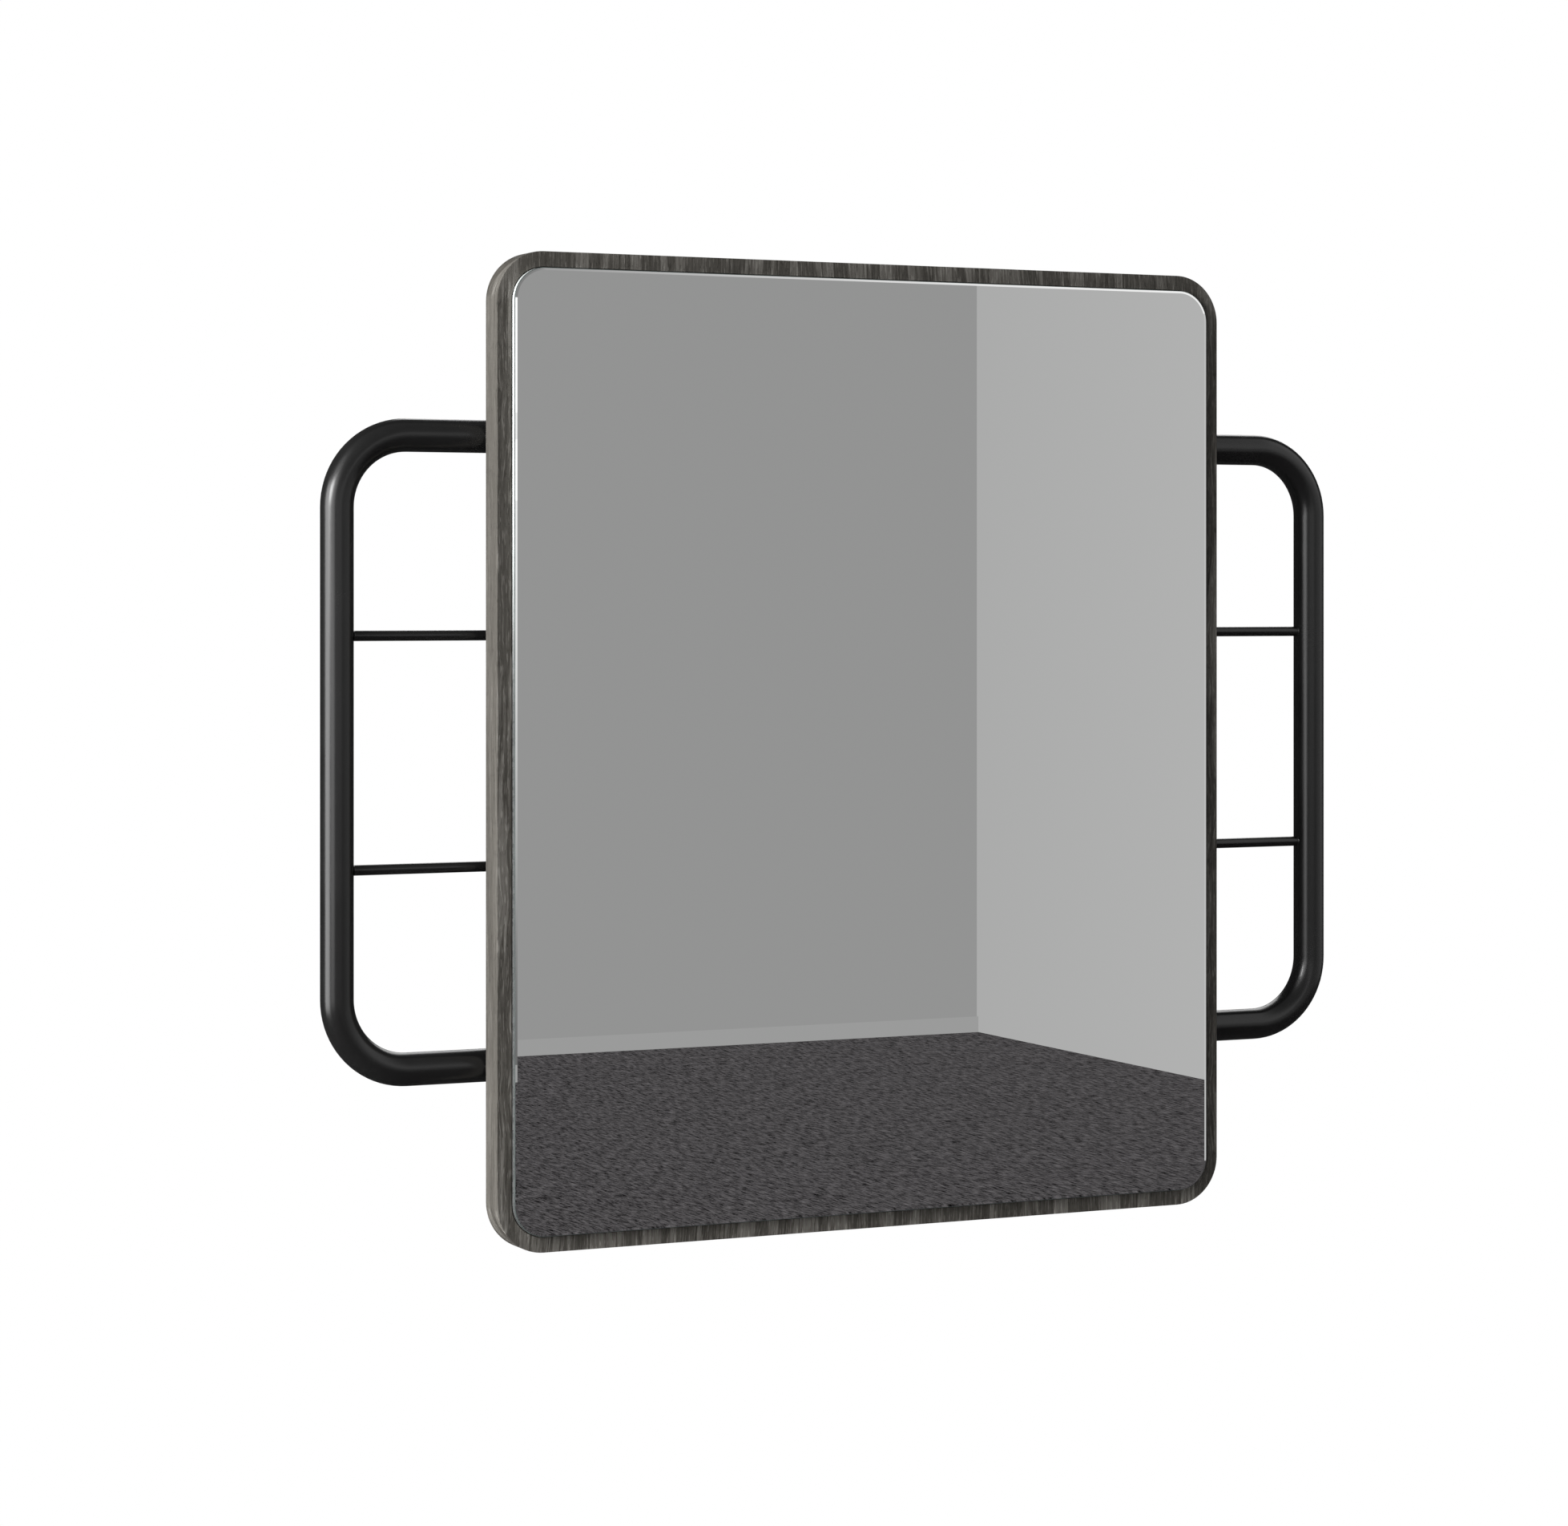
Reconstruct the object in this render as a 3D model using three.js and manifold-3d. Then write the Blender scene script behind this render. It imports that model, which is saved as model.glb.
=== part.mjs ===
// Wall-hung medicine cabinet with a mirrored oak door and a tubular towel rail at each side.
// Millimetres, +Z up. The wall is the plane y = 0, the room is at -Y, and the origin is the middle
// of the cabinet's back. The door is hinged at its right edge and opens from the left.
import * as THREE from "three";
import { mergeVertices } from "three/addons/utils/BufferGeometryUtils.js";
import Module from "manifold-3d";

const wasm = await Module();
wasm.setup();

// ---------- driving dimensions ----------
const GAP = 0.3; // left between pieces that touch
const SHEET = 1.5; // folded steel of the box

const BOX = { width: 540, height: 660, depth: 92 };
const FACE = { width: 618, height: 746, corner: 30, thick: 1 };
const DOOR = { width: 635, height: 762, thick: 24, corner: 38, ease: 2, gap: 0.9 };
const MIRROR = { margin: 12.5, thick: 5, proud: 4.5, bevel: 2.2, bevelDepth: 0.35 };
const TAPE = { width: 25, height: 640, thick: 1, x: 190 };
const TUBE = { radius: 12.7, wall: 1.5, x: 431.6, z: 240.7, bend: 55 };
const ROD = { radius: 4, z: 88.5 };
const SHELF = { thick: 5, levels: [-160, 2, 164], sideGap: 2, back: 3.5, front: 84 };
const PIN = { radius: 2.5, hole: 2.75, peg: 9, collar: 4.2, collarThick: 1.5, rows: [-20, -70] };
const HOLES = { pitch: 32, perShelf: 2 }; // spare pin holes above and below each shelf
const HINGE = {
  height: 70,
  levels: [-300, 0, 300],
  knuckle: 3,
  bore: 1.75,
  pin: 1.5,
  knuckles: 5,
  plate: 1.2,
  width: 36,
  offset: 3.5, // from the door's edge to the hinge's axis
  screwX: 10, // from the plate's free edge to the screws
  screwZ: 14, // from the plate's ends to the screws
};
const SCREW = { shank: 1.5, head: 3.2, length: 14, sink: 1.1 };
const CATCH = { width: 15, height: 46, depth: 17, z: 82, pocket: 9, setBack: 1, pull: 0.5 };
const MAGNET = { halfWidth: 4, height: 26, poleThick: 1.2 };
const STRIKE = { width: 13, height: 44, thick: 0.8, screwZ: 16 };
const RAIL = { width: 480, height: 30, thick: 2, z: 290, holeX: 200, hole: 4 };
const BUMPER = { radius: 2.5, inset: 3.2, height: 1.6 };

// ---------- planes and lines worked out from them ----------
const faceFront = -BOX.depth - FACE.thick;
const doorBack = faceFront - DOOR.gap;
const doorFront = doorBack - DOOR.thick;
const innerHalf = BOX.width / 2 - SHEET;
const tubeY = -BOX.depth + GAP + TUBE.radius;
const hingeX = DOOR.width / 2 + HINGE.offset;
const leafDistance = (DOOR.gap + FACE.thick + GAP) / 2; // from the hinge's axis to each leaf
const hingeY = doorBack + leafDistance;

// ---------- finishes ----------
const finish = (color, roughness, metalness) =>
  new THREE.MeshStandardMaterial({ color, roughness, metalness });
const oak = finish(0x55514a, 0.6, 0);
const blackSteel = finish(0x1b1b1b, 0.45, 0.3);
const silvered = finish(0xc9cccd, 0.03, 1);
const clearGlass = finish(0xcfe3dc, 0.05, 0);
const plainSteel = finish(0x9b9c9e, 0.35, 1);
const blackPlastic = finish(0x222222, 0.6, 0);
const ferrite = finish(0x3a3a3c, 0.8, 0);
const foam = finish(0xe8e8e4, 0.9, 0);
const greyRubber = finish(0x8b867e, 0.5, 0);

// ---------- helpers ----------
// A closed geometry as a solid that can be cut.
function solid(geometry) {
  const bare = geometry.clone();
  bare.deleteAttribute("normal");
  bare.deleteAttribute("uv");
  const merged = mergeVertices(bare, 1e-4);
  return new wasm.Manifold(
    new wasm.Mesh({
      numProp: 3,
      vertProperties: merged.attributes.position.array,
      triVerts: new Uint32Array(merged.index.array),
    }),
  );
}

function geometryOf(manifold) {
  const mesh = manifold.getMesh();
  return new THREE.BufferGeometry()
    .setAttribute("position", new THREE.BufferAttribute(mesh.vertProperties, 3))
    .setIndex(new THREE.BufferAttribute(mesh.triVerts, 1));
}

function cut(geometry, ...tools) {
  return geometryOf(tools.reduce((body, tool) => body.subtract(solid(tool)), solid(geometry)));
}

function join(first, ...others) {
  return geometryOf(others.reduce((body, other) => body.add(solid(other)), solid(first)));
}

// A block between two corners.
function block(x0, x1, y0, y1, z0, z1) {
  const size = [x1 - x0, y1 - y0, z1 - z0].map(Math.abs);
  return new THREE.BoxGeometry(...size).translate((x0 + x1) / 2, (y0 + y1) / 2, (z0 + z1) / 2);
}

// A rectangle with round corners, as an outline in the x-z plane.
function roundedOutline(width, height, corner, steps = 9) {
  const points = [];
  for (let quarter = 0; quarter < 4; quarter++) {
    const signX = quarter === 0 || quarter === 3 ? 1 : -1;
    const signZ = quarter < 2 ? 1 : -1;
    const centreX = signX * (width / 2 - corner);
    const centreZ = signZ * (height / 2 - corner);
    for (let step = 0; step <= steps; step++) {
      const angle = ((quarter + step / steps) * Math.PI) / 2;
      points.push(
        new THREE.Vector2(centreX + corner * Math.cos(angle), centreZ + corner * Math.sin(angle)),
      );
    }
  }
  return new THREE.Shape(points);
}

// An x-z outline given thickness from y = back towards the room.
function slab(shape, back, thick, bevel = 0, bevelDepth = bevel, bevelSegments = 3) {
  const geometry = new THREE.ExtrudeGeometry(shape, {
    depth: thick - 2 * bevelDepth,
    bevelEnabled: bevel > 0,
    bevelSize: bevel,
    bevelOffset: -bevel,
    bevelThickness: bevelDepth,
    bevelSegments,
    steps: 1,
  });
  return geometry.rotateX(Math.PI / 2).translate(0, back - bevelDepth, 0);
}

function cylinder(radius, length, axis, x, y, z, sides = 16) {
  const geometry = new THREE.CylinderGeometry(radius, radius, length, sides);
  if (axis === "x") geometry.rotateZ(Math.PI / 2);
  if (axis === "z") geometry.rotateX(Math.PI / 2);
  return geometry.translate(x, y, z);
}

const group = new THREE.Group();

function add(name, geometry, material) {
  const mesh = new THREE.Mesh(geometry, material);
  mesh.name = name;
  group.add(mesh);
  return mesh;
}

const sides = { left: -1, right: 1 };

// ---------- cabinet box ----------
// Heights of the shelf pins' holes: one for each shelf, and spare ones above and below it.
function pinHeights() {
  const heights = [];
  for (const level of SHELF.levels) {
    for (let n = -HOLES.perShelf; n <= HOLES.perShelf; n++) heights.push(level + n * HOLES.pitch);
  }
  return heights;
}

const pinDrop = SHELF.thick / 2 + PIN.radius + GAP;

for (const [side, sign] of Object.entries(sides)) {
  const outer = (sign * BOX.width) / 2;
  const panel = block(
    outer,
    outer - sign * SHEET,
    -BOX.depth + GAP,
    0,
    -BOX.height / 2,
    BOX.height / 2,
  );
  const holes = pinHeights().flatMap((z) =>
    PIN.rows.map((y) => cylinder(PIN.hole, 4 * SHEET, "x", outer, y, z - pinDrop, 12)),
  );
  add(`side_panel_${side}`, cut(panel, ...holes), blackSteel);
}

for (const [name, sign] of [
  ["bottom_panel", -1],
  ["top_panel", 1],
]) {
  const outer = (sign * BOX.height) / 2;
  add(
    name,
    block(
      -innerHalf + GAP,
      innerHalf - GAP,
      -BOX.depth + GAP,
      0,
      outer - sign * SHEET,
      outer,
    ),
    blackSteel,
  );
}

const wallHoles = [-1, 1].flatMap((sx) =>
  [-1, 1].map((sz) =>
    cylinder(RAIL.hole, 6 * SHEET, "y", sx * RAIL.holeX, 0, sz * RAIL.z, 16),
  ),
);
const innerHeight = BOX.height / 2 - SHEET;
add(
  "back_panel",
  cut(
    block(
      -innerHalf + GAP,
      innerHalf - GAP,
      -SHEET,
      0,
      -innerHeight + GAP,
      innerHeight - GAP,
    ),
    ...wallHoles,
  ),
  blackSteel,
);

for (const [name, sign] of [
  ["fixing_rail", -1],
  ["hanging_rail", 1],
]) {
  const z = sign * RAIL.z;
  const bar = block(
    -RAIL.width / 2,
    RAIL.width / 2,
    -SHEET - GAP - RAIL.thick,
    -SHEET - GAP,
    z - RAIL.height / 2,
    z + RAIL.height / 2,
  );
  add(name, cut(bar, ...wallHoles), blackSteel);
}

// The flat frame round the opening, which the door closes against.
const faceShape = roundedOutline(FACE.width, FACE.height, FACE.corner, 6);
faceShape.holes.push(
  new THREE.Path(roundedOutline(2 * innerHalf, 2 * innerHeight, 4, 3).getPoints().reverse()),
);
add("face_frame", slab(faceShape, -BOX.depth, FACE.thick), blackSteel);

// ---------- towel rails ----------
// The centre line of a rail: out from the box, round a bend, down, round a bend, and back.
class RailPath extends THREE.Curve {
  constructor(sign, bendSteps) {
    super();
    this.arcLengthDivisions = 4;
    const { x, z, bend } = TUBE;
    const start = BOX.width / 2 + GAP;
    this.stations = [[start, z, 1, 0]];
    for (let step = 0; step <= bendSteps; step++) {
      const angle = ((1 - step / bendSteps) * Math.PI) / 2;
      const [c, s] = [Math.cos(angle), Math.sin(angle)];
      this.stations.push([x - bend + bend * c, z - bend + bend * s, s, -c]);
    }
    for (let step = 0; step <= bendSteps; step++) {
      const angle = ((-step / bendSteps) * Math.PI) / 2;
      const [c, s] = [Math.cos(angle), Math.sin(angle)];
      this.stations.push([x - bend + bend * c, -z + bend + bend * s, s, -c]);
    }
    this.stations.push([start, -z, -1, 0]);
    this.sign = sign;
    this.steps = this.stations.length - 1;
  }
  station(t) {
    return this.stations[Math.round(t * this.steps)];
  }
  getPoint(t) {
    const [x, z] = this.station(t);
    return new THREE.Vector3(this.sign * x, tubeY, z);
  }
  getPointAt(t) {
    return this.getPoint(t);
  }
  getTangentAt(t) {
    const [, , dx, dz] = this.station(t);
    return new THREE.Vector3(this.sign * dx, 0, dz);
  }
}

const BEND_STEPS = 10;
const tubeSection = new THREE.Shape(
  new THREE.Path().absarc(0, 0, TUBE.radius, 0, 2 * Math.PI).getSpacedPoints(20).slice(0, -1),
);
tubeSection.holes.push(
  new THREE.Path(
    new THREE.Path()
      .absarc(0, 0, TUBE.radius - TUBE.wall, 0, 2 * Math.PI)
      .getSpacedPoints(14)
      .slice(0, -1)
      .reverse(),
  ),
);
const rodEnd = TUBE.x - TUBE.radius - GAP;
const rodStart = BOX.width / 2 + GAP;

for (const [side, sign] of Object.entries(sides)) {
  const path = new RailPath(sign, BEND_STEPS);
  const tube = new THREE.ExtrudeGeometry(tubeSection, { extrudePath: path, steps: path.steps });
  add(`rail_tube_${side}`, tube, blackSteel);
  for (const [level, z] of [
    ["lower", -ROD.z],
    ["upper", ROD.z],
  ]) {
    const middle = (sign * (rodStart + rodEnd)) / 2;
    add(
      `rail_rod_${side}_${level}`,
      cylinder(ROD.radius, rodEnd - rodStart, "x", middle, tubeY, z, 14),
      blackSteel,
    );
  }
}

// ---------- shelves and their pins ----------
// A pin along +x: the shank in the panel, the collar against it and the peg under the shelf.
function shelfPin() {
  const shank = SHEET + GAP + 1;
  const profile = [
    [0, 0],
    [PIN.radius, 0],
    [PIN.radius, shank],
    [PIN.collar, shank],
    [PIN.collar, shank + PIN.collarThick],
    [PIN.radius, shank + PIN.collarThick],
    [PIN.radius, shank + PIN.peg],
    [0, shank + PIN.peg],
  ].map(([r, y]) => new THREE.Vector2(r, y));
  return new THREE.LatheGeometry(profile, 12).rotateZ(-Math.PI / 2).translate(-shank, 0, 0);
}

SHELF.levels.forEach((level, index) => {
  const half = innerHalf - SHELF.sideGap;
  add(
    `shelf_${index + 1}`,
    block(-half, half, -SHELF.front, -SHELF.back, level - SHELF.thick / 2, level + SHELF.thick / 2),
    clearGlass,
  );
  for (const [side, sign] of Object.entries(sides)) {
    PIN.rows.forEach((y, row) => {
      const pin = add(`shelf_pin_${index + 1}_${side}_${row ? "front" : "back"}`, shelfPin(), plainSteel);
      pin.rotation.z = sign > 0 ? Math.PI : 0;
      pin.position.set(sign * (innerHalf - GAP), y, level - pinDrop);
    });
  }
});

// ---------- screws ----------
// A countersunk screw whose head is flush with y = 0 and whose shank runs towards -y.
function screwGeometry(clearance = 0) {
  const head = SCREW.head + clearance;
  const shank = SCREW.shank + clearance;
  const profile = [
    [0, clearance ? 1 : 0],
    [head, clearance ? 1 : 0],
    [head, 0],
    [shank, -SCREW.sink],
    [shank, -SCREW.length - clearance],
    [0, -SCREW.length - clearance],
  ].map(([r, y]) => new THREE.Vector2(r, y));
  if (!clearance) profile.splice(1, 1);
  return new THREE.LatheGeometry(profile.reverse(), 12);
}

// ---------- hinges ----------
// The door's leaf is let into the door's back, and the box's leaf is welded behind the face frame.
const knucklePitch = HINGE.height / HINGE.knuckles;
const plateEdge = hingeX - HINGE.knuckle - 0.5;
const doorPlate = { front: doorBack - HINGE.plate, back: doorBack };
const boxPlate = { front: hingeY + leafDistance, back: hingeY + leafDistance + HINGE.plate };
const leafScrewX = hingeX - HINGE.width + HINGE.screwX;
const leafScrewZ = HINGE.height / 2 - HINGE.screwZ;

// One leaf: a flat plate, and every second knuckle rolled from it round the axis.
function hingeLeaf(plate, firstKnuckle, middle) {
  const bottom = middle - HINGE.height / 2;
  const parts = [
    block(
      hingeX - HINGE.width,
      plateEdge,
      plate.front,
      plate.back,
      bottom,
      bottom + HINGE.height,
    ),
  ];
  for (let n = firstKnuckle; n < HINGE.knuckles; n += 2) {
    const z = bottom + (n + 0.5) * knucklePitch;
    const length = knucklePitch - GAP;
    parts.push(
      cylinder(HINGE.knuckle, length, "z", hingeX, hingeY, z, 16),
      block(plateEdge - 1, hingeX, plate.front, plate.back, z - length / 2, z + length / 2),
    );
  }
  const bore = cylinder(HINGE.bore, 2 * HINGE.height, "z", hingeX, hingeY, middle, 16);
  return cut(join(...parts), bore);
}

const screwPlaces = [];
HINGE.levels.forEach((middle, index) => {
  const name = ["lower", "middle", "upper"][index];
  add(`hinge_leaf_box_${name}`, hingeLeaf(boxPlate, 0, middle), plainSteel);
  const places = [-1, 1].map((sign) => [leafScrewX, doorPlate.back, middle + sign * leafScrewZ]);
  const sinks = places.map((place) => screwGeometry(GAP).translate(...place));
  add(`hinge_leaf_door_${name}`, cut(hingeLeaf(doorPlate, 1, middle), ...sinks), plainSteel);
  add(
    `hinge_pin_${name}`,
    cylinder(HINGE.pin, HINGE.height + 2, "z", hingeX, hingeY, middle, 12),
    plainSteel,
  );
  places.forEach((place, n) => {
    screwPlaces.push(place);
    add(`hinge_screw_${name}_${n + 1}`, screwGeometry().translate(...place), plainSteel);
  });
});

// ---------- magnetic catch ----------
const catchLeft = -innerHalf + GAP;
const catchMiddle = catchLeft + CATCH.width / 2;
const strikeBack = doorBack + GAP + STRIKE.thick;
const catchFront = faceFront + CATCH.setBack;
const poleFront = strikeBack + CATCH.pull; // the gap that the magnet pulls across
const poleEnd = MAGNET.halfWidth + MAGNET.poleThick;

add(
  "catch_housing",
  cut(
    block(
      catchLeft,
      catchLeft + CATCH.width,
      catchFront,
      catchFront + CATCH.depth,
      CATCH.z - CATCH.height / 2,
      CATCH.z + CATCH.height / 2,
    ),
    block(
      catchMiddle - poleEnd - GAP,
      catchMiddle + poleEnd + GAP,
      faceFront - 1,
      catchFront + CATCH.pocket,
      CATCH.z - MAGNET.height / 2 - GAP,
      CATCH.z + MAGNET.height / 2 + GAP,
    ),
  ),
  blackPlastic,
);
add(
  "catch_magnet",
  block(
    catchMiddle - MAGNET.halfWidth + GAP,
    catchMiddle + MAGNET.halfWidth - GAP,
    catchFront + CATCH.pull,
    catchFront + CATCH.pocket - GAP,
    CATCH.z - MAGNET.height / 2,
    CATCH.z + MAGNET.height / 2,
  ),
  ferrite,
);
for (const [side, sign] of Object.entries(sides)) {
  add(
    `catch_pole_${side}`,
    block(
      catchMiddle + sign * MAGNET.halfWidth,
      catchMiddle + sign * poleEnd,
      poleFront,
      catchFront + CATCH.pocket - GAP,
      CATCH.z - MAGNET.height / 2,
      CATCH.z + MAGNET.height / 2,
    ),
    plainSteel,
  );
}

const strikePlaces = [-1, 1].map((sign) => [
  catchMiddle,
  strikeBack,
  CATCH.z + sign * STRIKE.screwZ,
]);
const strikeSinks = strikePlaces.map((place) => screwGeometry(GAP).translate(...place));
add(
  "strike_plate",
  cut(
    block(
      catchMiddle - STRIKE.width / 2,
      catchMiddle + STRIKE.width / 2,
      doorBack + GAP,
      strikeBack,
      CATCH.z - STRIKE.height / 2,
      CATCH.z + STRIKE.height / 2,
    ),
    ...strikeSinks,
  ),
  plainSteel,
);
strikePlaces.forEach((place, n) => {
  screwPlaces.push(place);
  add(`strike_screw_${n + 1}`, screwGeometry().translate(...place), plainSteel);
});

// ---------- door ----------
const mirrorWidth = DOOR.width - 2 * MIRROR.margin;
const mirrorHeight = DOOR.height - 2 * MIRROR.margin;
const mirrorCorner = DOOR.corner - MIRROR.margin;
const mirrorBack = doorFront - MIRROR.proud + MIRROR.thick;
const rebateFloor = mirrorBack + TAPE.thick + 2 * GAP;

// The veneered board, with the rebate for the mirror, the mortises for the hinge leaves and pilot holes.
const rebate = slab(
  roundedOutline(mirrorWidth + 1, mirrorHeight + 1, mirrorCorner + 0.5),
  rebateFloor,
  20,
);
const mortises = HINGE.levels.map((middle) =>
  block(
    hingeX - HINGE.width - GAP,
    hingeX + 5,
    doorPlate.front - GAP,
    doorBack + 5,
    middle - HINGE.height / 2 - GAP,
    middle + HINGE.height / 2 + GAP,
  ),
);
const pilots = screwPlaces.map(([x, y, z]) =>
  cylinder(SCREW.shank + GAP, 2 * SCREW.length + 1, "y", x, y, z, 12),
);
add(
  "door_panel",
  cut(
    slab(
      roundedOutline(DOOR.width, DOOR.height, DOOR.corner, 12),
      doorBack,
      DOOR.thick,
      DOOR.ease,
    ),
    rebate,
    ...mortises,
    ...pilots,
  ),
  oak,
);

// The glass: bevelled all round its front, square at its back.
add(
  "mirror_glass",
  cut(
    slab(
      roundedOutline(mirrorWidth, mirrorHeight, mirrorCorner),
      mirrorBack + MIRROR.bevelDepth,
      MIRROR.thick + MIRROR.bevelDepth,
      MIRROR.bevel,
      MIRROR.bevelDepth,
      1,
    ),
    block(-DOOR.width, DOOR.width, mirrorBack, 0, -DOOR.height, DOOR.height),
  ),
  silvered,
);

for (const [side, sign] of Object.entries(sides)) {
  add(
    `mirror_tape_${side}`,
    block(
      sign * TAPE.x - TAPE.width / 2,
      sign * TAPE.x + TAPE.width / 2,
      mirrorBack + GAP,
      mirrorBack + GAP + TAPE.thick,
      -TAPE.height / 2,
      TAPE.height / 2,
    ),
    foam,
  );
}

// Soft buttons that stop the closing edge just clear of the rail's two arms.
const bumperProfile = [
  [0, 0],
  [BUMPER.radius, 0],
  [BUMPER.radius, 0.35 * BUMPER.height],
  [0.8 * BUMPER.radius, 0.75 * BUMPER.height],
  [0.4 * BUMPER.radius, BUMPER.height],
  [0, BUMPER.height],
].map(([r, y]) => new THREE.Vector2(r, y));
for (const [level, z] of [
  ["lower", -TUBE.z],
  ["upper", TUBE.z],
]) {
  add(
    `bumper_${level}`,
    new THREE.LatheGeometry(bumperProfile, 14).translate(
      -DOOR.width / 2 + BUMPER.inset,
      doorBack + GAP,
      z,
    ),
    greyRubber,
  );
}

export default group;
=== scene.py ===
# %% [markdown]
# # A mirrored medicine cabinet with towel rails
# The cabinet hangs on a wall. Its door is a veneered board with a bevelled mirror set into the front,
# and it is wider than the steel box behind it, so that the box is out of sight from the front. A bent
# tube with two thin rods stands out at each side as a towel rail.
# The frame gives every piece's place and size. This script makes the fine surfaces around it.

# %% The frame
import math

import bmesh
import bpy
from mathutils import Matrix, Vector


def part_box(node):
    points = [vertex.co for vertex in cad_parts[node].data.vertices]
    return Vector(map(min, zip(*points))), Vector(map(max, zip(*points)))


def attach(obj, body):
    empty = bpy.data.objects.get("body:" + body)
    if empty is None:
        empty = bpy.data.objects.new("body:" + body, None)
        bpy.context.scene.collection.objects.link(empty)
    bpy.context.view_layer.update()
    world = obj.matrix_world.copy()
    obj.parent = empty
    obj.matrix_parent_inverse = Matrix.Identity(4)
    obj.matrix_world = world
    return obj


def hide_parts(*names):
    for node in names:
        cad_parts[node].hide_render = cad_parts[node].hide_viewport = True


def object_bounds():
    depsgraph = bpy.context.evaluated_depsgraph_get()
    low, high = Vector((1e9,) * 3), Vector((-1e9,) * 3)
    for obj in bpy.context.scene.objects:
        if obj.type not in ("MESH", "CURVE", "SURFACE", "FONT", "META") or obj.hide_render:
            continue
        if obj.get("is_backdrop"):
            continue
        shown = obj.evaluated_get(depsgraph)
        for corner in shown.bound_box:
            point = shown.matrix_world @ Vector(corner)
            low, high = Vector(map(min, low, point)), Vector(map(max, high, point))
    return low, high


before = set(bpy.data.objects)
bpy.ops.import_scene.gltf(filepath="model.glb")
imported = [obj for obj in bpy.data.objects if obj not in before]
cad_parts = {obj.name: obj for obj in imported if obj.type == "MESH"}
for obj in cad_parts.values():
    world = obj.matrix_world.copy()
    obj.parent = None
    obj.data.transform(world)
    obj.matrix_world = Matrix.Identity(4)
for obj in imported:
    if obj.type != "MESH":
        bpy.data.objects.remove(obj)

MM = 0.001
cad_box = [list(corner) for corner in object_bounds()]
print("box in mm", [[round(v / MM, 1) for v in corner] for corner in cad_box])

# %% [markdown]
# ## Camera
# The cabinet is seen from its left at eye height, with the camera level so that uprights stay upright.
# A level camera shows as much ceiling as floor, so the picture is shifted down instead of tilted, as an
# architect's camera would do it.

# %% A level camera
EYE_LEFT, EYE_FRONT, EYE_UP = 1.417, 2.834, 0.1216  # metres from the middle of the door's front
EYE_TURN = math.radians(25.3)  # to the right
LENS = 91.98
SHIFT_DOWN = 0.109

door_low, door_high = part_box("door_panel")
door_middle = (door_low + door_high) / 2
eye = Vector((door_middle.x - EYE_LEFT, door_low.y - EYE_FRONT, door_middle.z + EYE_UP))

camera_data = bpy.data.cameras.new("camera")
camera_data.sensor_width = 36
camera_data.lens = LENS
camera_data.shift_y = -SHIFT_DOWN
camera = bpy.data.objects.new("camera", camera_data)
camera.location = eye
camera.rotation_euler = (math.radians(90), 0, -EYE_TURN)
bpy.context.scene.collection.objects.link(camera)
bpy.context.scene.camera = camera
bpy.context.scene.view_settings.view_transform = "Standard"
print("camera at", [round(v, 3) for v in eye])

# %% [markdown]
# ## Shader arithmetic
# A finish is a formula over the surface. Written node by node it is hard to read, so a small class
# wraps a socket and turns Python's operators into Math nodes. One method adds any other node.


# %% Sockets that can be calculated with
class Socket:
    """An output socket in a finish. Each operator adds a Math node and returns its output."""

    def __init__(self, finish, output):
        self.finish, self.output = finish, output

    def math(self, operation, *values):
        return self.finish.node("Math", {"operation": operation}, dict(enumerate(values)))

    def __add__(self, other):
        return self.math("ADD", self, other)

    def __mul__(self, other):
        return self.math("MULTIPLY", self, other)

    def __sub__(self, other):
        return self.math("SUBTRACT", self, other)

    def __rsub__(self, other):
        return self.math("SUBTRACT", other, self)

    __radd__ = __add__
    __rmul__ = __mul__

    def step(self, low, high):
        """0 below low, 1 above high and a soft ramp between. It falls when high is below low."""
        settings = {"interpolation_type": "SMOOTHSTEP"}
        if low <= high:
            return self.finish.node("MapRange", settings, {0: self, 1: low, 2: high})
        return self.finish.node("MapRange", settings, {0: self, 1: high, 2: low, 3: 1.0, 4: 0.0})


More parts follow.
